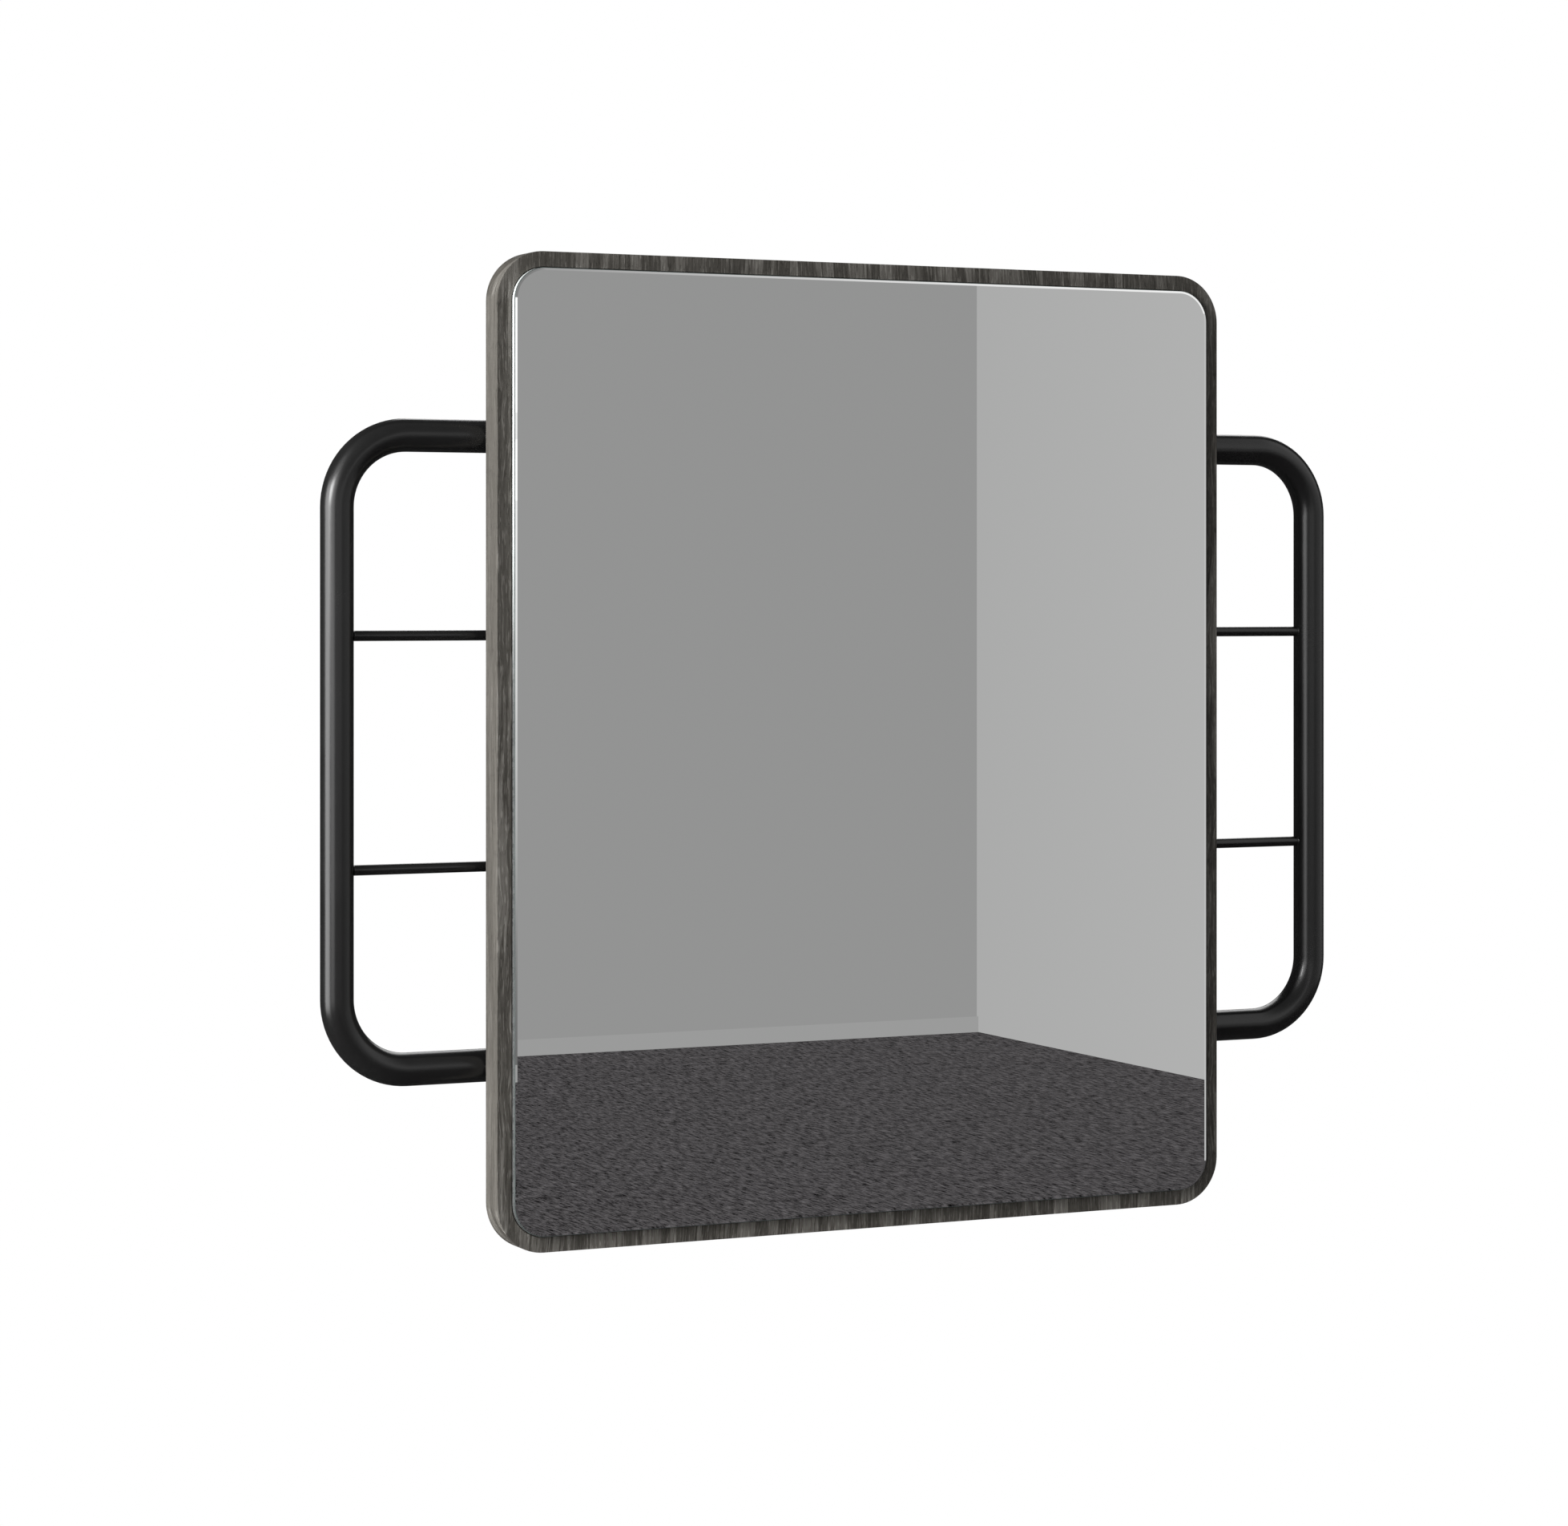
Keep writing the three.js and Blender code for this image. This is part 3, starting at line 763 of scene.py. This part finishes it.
for side in ("left", "right"):
    holes = []
    for number in (1, 2, 3):
        for row in ("back", "front"):
            middle = corners(f"shelf_pin_{number}_{side}_{row}")[2]
            x = corners(f"side_panel_{side}")[2].x
            for up in SPARE_HOLES:
                holes.append(punch(PIN_HOLE, (1, 0, 0), x, middle.y, middle.z + up))
    sheet(f"side_panel_{side}", *holes)
sheet("top_panel", grow=(1, 0, 0))
sheet("bottom_panel", grow=(1, 0, 0))
wall_punches = [punch(WALL_HOLE, (0, 1, 0), x, 0, z) for x, z in WALL_HOLES]
sheet("back_panel", *wall_punches, grow=(1, 0, 1))
for rail, holes in (("fixing_rail", WALL_HOLES[0::2]), ("hanging_rail", WALL_HOLES[1::2])):
    sheet(rail, *[punch(WALL_HOLE, (0, 1, 0), x, corners(rail)[2].y, z) for x, z in holes])

# %% The face frame
FACE_CORNER, OPENING_CORNER = 30 * MM, 4 * MM
low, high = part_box("face_frame")
inner_x, inner_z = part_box("side_panel_right")[0].x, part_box("top_panel")[0].z
reach = Vector((0, 5 * MM, 0))
frame_sheet = rounded_slab(low, high, FACE_CORNER, 16)
ease(frame_sheet, rim(frame_sheet, low.y), 0.3 * MM, 3)
opening_low = Vector((-inner_x, low.y, -inner_z)) - reach
opening_high = Vector((inner_x, high.y, inner_z)) + reach
opening = rounded_slab(opening_low, opening_high, OPENING_CORNER, 8)
face_sheet = piece(
    "face_frame_sheet", frame_sheet, ["box_coat"], "cabinet", "black_steel", "face_frame"
)
cut(face_sheet, opening)

# %% [markdown]
# ## Hinges
# Three steel butt hinges. Each leaf is one strip: flat where it is fixed, with fingers rolled round the
# pin. So the leaf is a strip followed along a path, straight and then round the axis, and the fingers
# are the only part of it that goes beyond the plate's edge. Leaves take turns along the pin.


# %% Leaves with rolled knuckles
def leaf_path(side):
    """Points and normals from the plate's edge to the end of the roll, round an axis at 0, 0."""
    thick, clear = HINGE["leaf"], HINGE["clear"]
    roll = HINGE["knuckle"] - thick / 2
    flat_y = HINGE["distance"] + thick / 2
    path = [(x, flat_y) for x in (-HINGE["width"], -HINGE["plate"], -clear)]
    rise_steps, roll_steps = 7, 20
    for n in range(1, rise_steps):
        t = n / rise_steps
        ease_in = t * t * (3 - 2 * t)
        path.append((-clear * (1 - t), flat_y + (roll - flat_y) * ease_in))
    for n in range(roll_steps + 1):
        angle = math.radians(90 - n / roll_steps * HINGE["roll"])
        path.append((roll * math.cos(angle), roll * math.sin(angle)))
    points = [Vector((x, side * y, 0)) for x, y in path]
    normals = []
    for n in range(len(points)):
        way = points[min(n + 1, len(points) - 1)] - points[max(n - 1, 0)]
        normals.append(Vector((-way.y, way.x, 0)).normalized())
    return points, normals


def rolled_leaf(side, place, height, first):
    """A leaf on one side of the axis; first is 0 or 1, whichever knuckle it starts with."""
    points, normals = leaf_path(side)
    pitch = height / HINGE["knuckles"]
    gap = HINGE["play"] / 2
    levels = [-height / 2]
    for n in range(1, HINGE["knuckles"]):
        levels += [-height / 2 + n * pitch - gap, -height / 2 + n * pitch + gap]
    levels.append(height / 2)

    def solid(i, j):
        """Whether the strip has metal between stations i and i + 1 and levels j and j + 1."""
        if not (0 <= i < len(points) - 1 and 0 <= j < len(levels) - 1):
            return False
        in_plate = i < 2
        own_finger = j % 2 == 0 and (j // 2) % 2 == first
        return in_plate or own_finger

    bm = bmesh.new()
    made = {}

    def vert(i, j, face):
        if (i, j, face) not in made:
            offset = normals[i] * (HINGE["leaf"] / 2 * face)
            made[i, j, face] = bm.verts.new(place + points[i] + offset + Vector((0, 0, levels[j])))
        return made[i, j, face]

    for i in range(len(points) - 1):
        for j in range(len(levels) - 1):
            if not solid(i, j):
                continue
            for face in (-1, 1):
                cell = ((i, j), (i + 1, j), (i + 1, j + 1), (i, j + 1))
                bm.faces.new([vert(a, b, face) for a, b in cell])
            for di, dj, a, b in (
                (-1, 0, (i, j), (i, j + 1)),
                (1, 0, (i + 1, j), (i + 1, j + 1)),
                (0, -1, (i, j), (i + 1, j)),
                (0, 1, (i, j + 1), (i + 1, j + 1)),
            ):
                if not solid(i + di, j + dj):
                    bm.faces.new([vert(*a, -1), vert(*b, -1), vert(*b, 1), vert(*a, 1)])
    bmesh.ops.recalc_face_normals(bm, faces=bm.faces)
    plate_corners = [
        e
        for e in bm.edges
        if abs(abs(e.verts[0].co.z - place.z) - height / 2) < 1e-6
        and all(v.co.x < place.x - HINGE["width"] + MM for v in e.verts)
        and abs(e.verts[0].co.y - e.verts[1].co.y) > HINGE["leaf"] / 2
    ]
    ease(bm, plate_corners, HINGE["corner"], 6)
    return bm


def countersink(name, play=0.25 * MM, reach=3 * MM, throat=-1.3 * MM):
    """A screw's hole through a thin plate, with a seat for its head."""
    low, high, middle = corners(name)
    radius, shank = (high.x - low.x) / 2 + play, PILOT["radius"]
    profile = [(0, -reach), (shank, -reach), (shank, throat), (radius, 0)]
    profile += [(radius, reach), (0, reach)]
    return turned(profile, (0, 1, 0), (middle.x, high.y, middle.z), 28)


for level in LEVELS:
    low, high, middle = corners(f"hinge_pin_{level}")
    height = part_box(f"hinge_leaf_box_{level}")[1].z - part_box(f"hinge_leaf_box_{level}")[0].z
    for part, side, first, body in (("box", 1, 0, "cabinet"), ("door", -1, 1, "door")):
        leaf = piece(
            f"rolled_leaf_{part}_{level}",
            rolled_leaf(side, middle, height, first),
            ["zinc"],
            body,
            "plain_steel",
            f"hinge_leaf_{part}_{level}",
        )
        if part == "door":
            cut(leaf, *[countersink(f"hinge_screw_{level}_{n}") for n in (1, 2)])
    radius, half = (high.x - low.x) / 2, (high.z - low.z) / 2
    dome = [(0, -half), (0.6 * radius, -half + 0.05 * MM), (radius, -half + 0.5 * MM)]
    profile = dome + [(r, -z) for r, z in reversed(dome)]
    pin = turned(profile, (0, 0, 1), middle)
    piece(f"turned_hinge_pin_{level}", pin, ["zinc"], "cabinet", "plain_steel", f"hinge_pin_{level}")

# %% [markdown]
# ## Screws
# Countersunk screws with a cross recess. The screw is turned and the recess is driven into it by a
# tapered cross, as the cold header's punch does.


# %% Countersunk screws
def cross_punch(place, arm=1.75 * MM, half=0.38 * MM, depth=1.5 * MM):
    """A cross that tapers towards its tip, half being half the width of an arm."""
    outline = [(arm, half), (half, half), (half, arm)]
    for _ in range(3):
        outline += [(-y, x) for x, y in outline[-3:]]
    bm = bmesh.new()
    rings = []
    for y, scale in ((0.6 * MM, 1.15), (-depth, 0.5)):
        rings.append([bm.verts.new(place + Vector((x * scale, y, z * scale))) for x, z in outline])
    bm.faces.new(rings[0])
    bm.faces.new(rings[1][::-1])
    for n in range(len(outline)):
        m = (n + 1) % len(outline)
        bm.faces.new((rings[0][n], rings[0][m], rings[1][m], rings[1][n]))
    return bm


SHANK, ROOT, TIP = 1.5 * MM, 1.1 * MM, 0.9 * MM  # radii of the thread's crest, its root and the tip
HEAD_DEPTH, THREAD_START, THREAD_CREST = 1.1 * MM, 1.6 * MM, 0.3 * MM
POINT = 3 * MM
TURNS = 12

for name in SCREWS:
    low, high, middle = corners(name)
    head, length = (high.x - low.x) / 2, high.y - low.y
    profile = [(0, 0), (head - 0.25 * MM, 0), (head, -0.12 * MM), (SHANK, -HEAD_DEPTH)]
    thread_end = length - POINT
    for n in range(TURNS):
        at = -THREAD_START - n / TURNS * (thread_end - THREAD_START)
        profile += [(ROOT, at), (SHANK, at - THREAD_CREST), (ROOT, at - 2 * THREAD_CREST)]
    profile += [(TIP, -thread_end - MM), (0, -length)]
    seat = Vector((middle.x, high.y, middle.z))
    screw = turned(profile, (0, 1, 0), seat, 28)
    made = piece(f"countersunk_{name}", screw, ["zinc"], "door", "plain_steel", name)
    cut(made, cross_punch(seat))

# %% [markdown]
# ## Catch, strike plate and bumpers
# A magnet between two pole plates sits in a plastic housing on the box. It pulls a small steel plate on
# the door's back, and two rubber domes keep the door's free edge from touching the face frame.

# %% Catch and strike plate
MOULDED_EDGE, GROUND_CORNER, PRESSED_EDGE = 1.2 * MM, 0.2 * MM, 0.2 * MM
STRIKE_CORNER = 2.5 * MM
low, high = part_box("catch_housing")
housing = block(low, high, MOULDED_EDGE)
made = piece("moulded_housing", housing, ["plastic"], "cabinet", "black_plastic", "catch_housing")
play = Vector((GAP, GAP, GAP))
pocket_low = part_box("catch_pole_left")[0] - play
pocket_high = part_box("catch_pole_right")[1] + play
cut(made, block(Vector((pocket_low.x, low.y - 3 * MM, pocket_low.z)), pocket_high))
for node, finish, slot in (
    ("catch_magnet", "ferrite", "ferrite"),
    ("catch_pole_left", "zinc", "plain_steel"),
    ("catch_pole_right", "zinc", "plain_steel"),
):
    low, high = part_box(node)
    piece(f"{node}_ground", block(low, high, GROUND_CORNER), [finish], "cabinet", slot, node)

low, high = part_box("strike_plate")
strike = rounded_slab(low, high, STRIKE_CORNER, 8)
ease(strike, rim(strike, high.y), PRESSED_EDGE, 2)
made = piece("pressed_strike_plate", strike, ["zinc"], "door", "plain_steel", "strike_plate")
cut(made, countersink("strike_screw_1"), countersink("strike_screw_2"))

# %% Bumpers
for level in ("lower", "upper"):
    low, high, middle = corners(f"bumper_{level}")
    radius, height = (high.x - low.x) / 2, high.y - low.y
    profile = [(0, 0), (radius, 0)]
    steps = 8
    for n in range(1, steps + 1):
        angle = n / steps * math.pi / 2
        profile.append((radius * math.cos(angle), height * math.sin(angle)))
    dome = turned(profile, (0, 1, 0), (middle.x, low.y, middle.z))
    piece(f"rubber_dome_{level}", dome, ["rubber"], "door", "grey_rubber", f"bumper_{level}")

# %% [markdown]
# ## Mirror tape
# Two strips of foam tape hold the glass. They are cut from a roll and are plain strips, so the frame's own
# shapes stay and only take the foam finish.

# %% Foam on the tape
for side in ("left", "right"):
    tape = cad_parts[f"mirror_tape_{side}"]
    tape.data.materials.clear()
    tape.data.materials.append(FINISHES["foam"])
    print(tape.name, "takes the foam finish")

# %% [markdown]
# ## Shelves
# Three float-glass shelves with polished edges. Glass looks clear through its face and green through its
# edge, so the edge faces take a finish of their own.

# %% Glass shelves
SHELF_CORNER, POLISHED_EDGE = 3 * MM, 0.7 * MM
CLEAR_FACE, GREEN_EDGE = range(2)
for number in (1, 2, 3):
    low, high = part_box(f"shelf_{number}")
    shelf = block(low, high)
    upright = [e for e in shelf.edges if abs(e.verts[0].co.z - e.verts[1].co.z) > MM]
    ease(shelf, upright, SHELF_CORNER, 6)
    outline = [
        e
        for e in shelf.edges
        if abs(e.verts[0].co.z - e.verts[1].co.z) < 1e-7
        and any(abs(f.normal.z) < 0.5 for f in e.link_faces)
    ]
    ease(shelf, outline, POLISHED_EDGE, 3)
    shelf.normal_update()
    for f in shelf.faces:
        f.material_index = CLEAR_FACE if abs(f.normal.z) > 0.99 else GREEN_EDGE
    piece(
        f"glass_shelf_{number}",
        shelf,
        ["glass", "glass_edge"],
        "cabinet",
        "clear_glass",
        f"shelf_{number}",
    )

# %% Shelf pins
PIN = {"radius": 2.5 * MM, "shank": 2.8 * MM, "collar": 4.2 * MM, "collar_end": 4.3 * MM}
for number in (1, 2, 3):
    for side, inward in (("left", 1), ("right", -1)):
        for row in ("back", "front"):
            name = f"shelf_pin_{number}_{side}_{row}"
            low, high, middle = corners(name)
            length, small = high.x - low.x, 0.3 * MM
            radius, collar = PIN["radius"], PIN["collar"]
            profile = [
                (0, 0),
                (radius - small, 0),
                (radius, small),
                (radius, PIN["shank"]),
                (collar - small, PIN["shank"]),
                (collar, PIN["shank"] + small),
                (collar, PIN["collar_end"] - small),
                (collar - small, PIN["collar_end"]),
                (radius, PIN["collar_end"]),
                (radius, length - 0.8 * MM),
                (radius - 0.3 * MM, length - 0.25 * MM),
                (radius - 0.9 * MM, length),
                (0, length),
            ]
            foot = Vector((low.x if inward > 0 else high.x, middle.y, middle.z))
            pin = turned(profile, (inward, 0, 0), foot)
            piece(f"turned_{name}", pin, ["zinc"], "cabinet", "plain_steel", name)

# %% [markdown]
# ## Light
# The main window is far to the left, almost in the plane of the mirror: it lights the board's left side,
# and the glass that stands proud throws the right stile into shade. A broad side window and a dim front
# window draw soft highlights down the tubes, and a light behind the cabinet lifts its back. The sky fills
# in softly, and the background is plain white.


# %% Windows, a light from behind and the sky
def area_light(name, place, target, size, power):
    data = bpy.data.lights.new(name, "AREA")
    data.shape, data.size, data.size_y, data.energy = "RECTANGLE", size[0], size[1], power
    light = bpy.data.objects.new(name, data)
    light.location = place
    light.rotation_euler = (Vector(target) - Vector(place)).to_track_quat("-Z", "Y").to_euler()
    bpy.context.scene.collection.objects.link(light)
    print(name, "at", [round(v, 2) for v in place])
    return light


def towards(angle, rise, distance):
    """A point at an angle left of the mirror's normal, as seen from the cabinet."""
    a, r = math.radians(angle), math.radians(rise)
    return Vector(
        (-math.sin(a) * math.cos(r), -math.cos(a) * math.cos(r), math.sin(r))
    ) * distance


AWAY = 3.2  # metres from the cabinet to each window
AIM = (0, -0.1, 0)
area_light("window", towards(69, 22, AWAY), AIM, (0.9, 1.7), 92)
area_light("side_window", towards(86, 4, AWAY), AIM, (1.8, 2.3), 80)
area_light("front_window", towards(51, 7, AWAY), AIM, (1.2, 1.9), 18)
area_light("back_light", Vector((1.6, 2.6, 1.8)), (0, 0, 0), (2.0, 2.0), 30)

SKY_STRENGTH = 0.052
world = bpy.data.worlds.new("sky")
bpy.context.scene.world = world
world.use_nodes = True
sky = world.node_tree
sky_fill = sky.nodes["Background"]
sky_fill.inputs["Color"].default_value = (1, 1, 1, 1)
sky_fill.inputs["Strength"].default_value = SKY_STRENGTH
backdrop = sky.nodes.new("ShaderNodeBackground")
backdrop.inputs["Color"].default_value = (1, 1, 1, 1)
path = sky.nodes.new("ShaderNodeLightPath")
choice = sky.nodes.new("ShaderNodeMixShader")
sky.links.new(path.outputs["Is Camera Ray"], choice.inputs[0])
sky.links.new(sky_fill.outputs[0], choice.inputs[1])
sky.links.new(backdrop.outputs[0], choice.inputs[2])
sky.links.new(choice.outputs[0], sky.nodes["World Output"].inputs["Surface"])

# %% [markdown]
# ## The room in the mirror
# A mirror needs something to show: an empty room with pale walls, a low skirting and a dark carpet. These
# are glowing sheets that only reflections can see, a painted reflection of a lit room, so they never hide
# the cabinet. The camera's height above the carpet is assumed. The distances of the far and right walls
# and the skirting's height follow from it. Two bright panes stand where the mirror's left bevel reflects
# them as a white line.

# %% Sheets that only reflections see
EYE_HEIGHT = 1.6
ROOM_HEIGHT, ROOM_DEPTH = 2.8, 10.06
SKIRTING_HEIGHT = 57 * MM
FLOOR = eye.z - EYE_HEIGHT
CEILING = FLOOR + ROOM_HEIGHT
FAR = door_low.y - ROOM_DEPTH
RIGHT = 5.45
LEFT = -5.0


def room_sheet(name, points, paint):
    bm = bmesh.new()
    bm.faces.new([bm.verts.new(p) for p in points])
    mesh = bpy.data.meshes.new(name)
    bm.to_mesh(mesh)
    bm.free()
    sheet = bpy.data.objects.new(name, mesh)
    bpy.context.scene.collection.objects.link(sheet)
    mesh.materials.append(paint)
    for ray in ("camera", "diffuse", "transmission", "volume_scatter", "shadow"):
        setattr(sheet, "visible_" + ray, False)
    sheet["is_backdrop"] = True
    print(name, "seen by reflections only")


def glow(name, brightness, tint=(1, 1, 1)):
    """A sheet that glows: brightness is a number or a function that works it out on the sheet."""
    paint = Finish(name, (0, 0, 0), Roughness=1.0, Specular_IOR_Level=0.0)
    value = brightness(paint) if callable(brightness) else brightness
    if isinstance(value, Socket):
        paint.surface(Emission_Color=paint.ramp(value, (0, (0, 0, 0)), (1, tint)))
    else:
        paint.surface(Emission_Color=(value, value, value, 1))
    return paint.surface(Emission_Strength=1.0)


def far_wall(paint):
    # Painted light: the far wall glows brighter near the window panes and towards the top, and darker low
    # down.
    painted_window_light = paint.along("X").step(3.2, 1.0)
    painted_light_upward = paint.along("Z").step(FLOOR, 0.5)
    return 0.314 + painted_window_light * (painted_light_upward * 0.78 - 0.16)


def right_wall(paint):
    # Painted light: the right wall glows brighter towards the wall that the cabinet hangs on.
    return 0.437 + (paint.along("Y") - FAR) * 0.0215


def ceiling(paint):
    # Painted light: the ceiling glows brighter towards the right.
    return 0.22 + paint.along("X").step(0.3, 1.7) * 0.70


def carpet(paint):
    tuft = paint.noise((130, 20, 130), 4.0, 0.8)
    return 0.068 + (tuft - 0.5) * 0.46


# Painted reflection: each sheet glows with the brightness of a lit room surface, and none of them is a
# lamp.
z0, z1 = FLOOR, CEILING
room_sheet(
    "room_far_wall",
    [(LEFT, FAR, z0), (RIGHT, FAR, z0), (RIGHT, FAR, z1), (LEFT, FAR, z1)],
    glow("far_wall_painted_reflection", far_wall),
)
room_sheet(
    "room_right_wall",
    [(RIGHT, FAR, z0), (RIGHT, 0, z0), (RIGHT, 0, z1), (RIGHT, FAR, z1)],
    glow("right_wall_painted_reflection", right_wall),
)
room_sheet(
    "room_left_wall",
    [(LEFT, 0, z0), (LEFT, FAR, z0), (LEFT, FAR, z1), (LEFT, 0, z1)],
    glow("left_wall_painted_reflection", 0.3),
)
room_sheet(
    "room_ceiling",
    [(LEFT, 0, z1), (RIGHT, 0, z1), (RIGHT, FAR, z1), (LEFT, FAR, z1)],
    glow("ceiling_painted_reflection", ceiling),
)
room_sheet(
    "room_carpet",
    [(LEFT, FAR, z0), (RIGHT, FAR, z0), (RIGHT, 0, z0), (LEFT, 0, z0)],
    glow("carpet_painted_reflection", carpet, (1.05, 0.99, 1.03)),
)
skirting = FAR + 12 * MM
room_sheet(
    "room_skirting",
    [
        (LEFT, skirting, z0),
        (RIGHT, skirting, z0),
        (RIGHT, skirting, z0 + SKIRTING_HEIGHT),
        (LEFT, skirting, z0 + SKIRTING_HEIGHT),
    ],
    glow("skirting_painted_reflection", 0.35),
)
pane_y = FAR + 20 * MM
x0, x1 = -0.6, 1.2
for name, low_z, high_z in (("lower", 0.42, 0.62), ("upper", 0.707, 1.25)):
    room_sheet(
        f"room_window_{name}",
        [(x0, pane_y, low_z), (x1, pane_y, low_z), (x1, pane_y, high_z), (x0, pane_y, high_z)],
        glow(f"daylight_{name}", 1.15),
    )

# %% [markdown]
# ## Floor
# A plain pale floor just below the carpet's level. It is small enough to stay out of the main picture,
# where a wall-hung cabinet has no floor.

# %% Plain pale floor
FLOOR_HALF = 2.3
floor_paint = speckled("pale_floor", (0.87, 0.87, 0.86), (0.90, 0.90, 0.89), 40, 0.8, 0.0001)
floor_mesh = bmesh.new()
bmesh.ops.create_grid(floor_mesh, x_segments=1, y_segments=1, size=FLOOR_HALF)
bmesh.ops.translate(floor_mesh, vec=(0, 0, FLOOR - 5 * MM), verts=floor_mesh.verts)
floor_data = bpy.data.meshes.new("floor")
floor_mesh.to_mesh(floor_data)
floor_mesh.free()
floor = bpy.data.objects.new("floor", floor_data)
floor_data.materials.append(floor_paint)
floor.visible_glossy = False
bpy.context.scene.collection.objects.link(floor)
floor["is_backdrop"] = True
print("floor at", round(FLOOR, 3), "m")

# %% [markdown]
# ## Sizes
# The finished model's box is compared with the frame's box, and the print gives how far it passes it on
# each side. The finished model has to stay inside the frame's box.

# %% Compare both boxes and finish
bpy.context.view_layer.update()
shown_box = [list(corner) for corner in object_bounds()]
for name, axis in zip("xyz", range(3)):
    grown = [round((shown_box[i][axis] - cad_box[i][axis]) / MM, 2) for i in (0, 1)]
    print(f"{name}: the model passes the frame's box by {grown} mm")
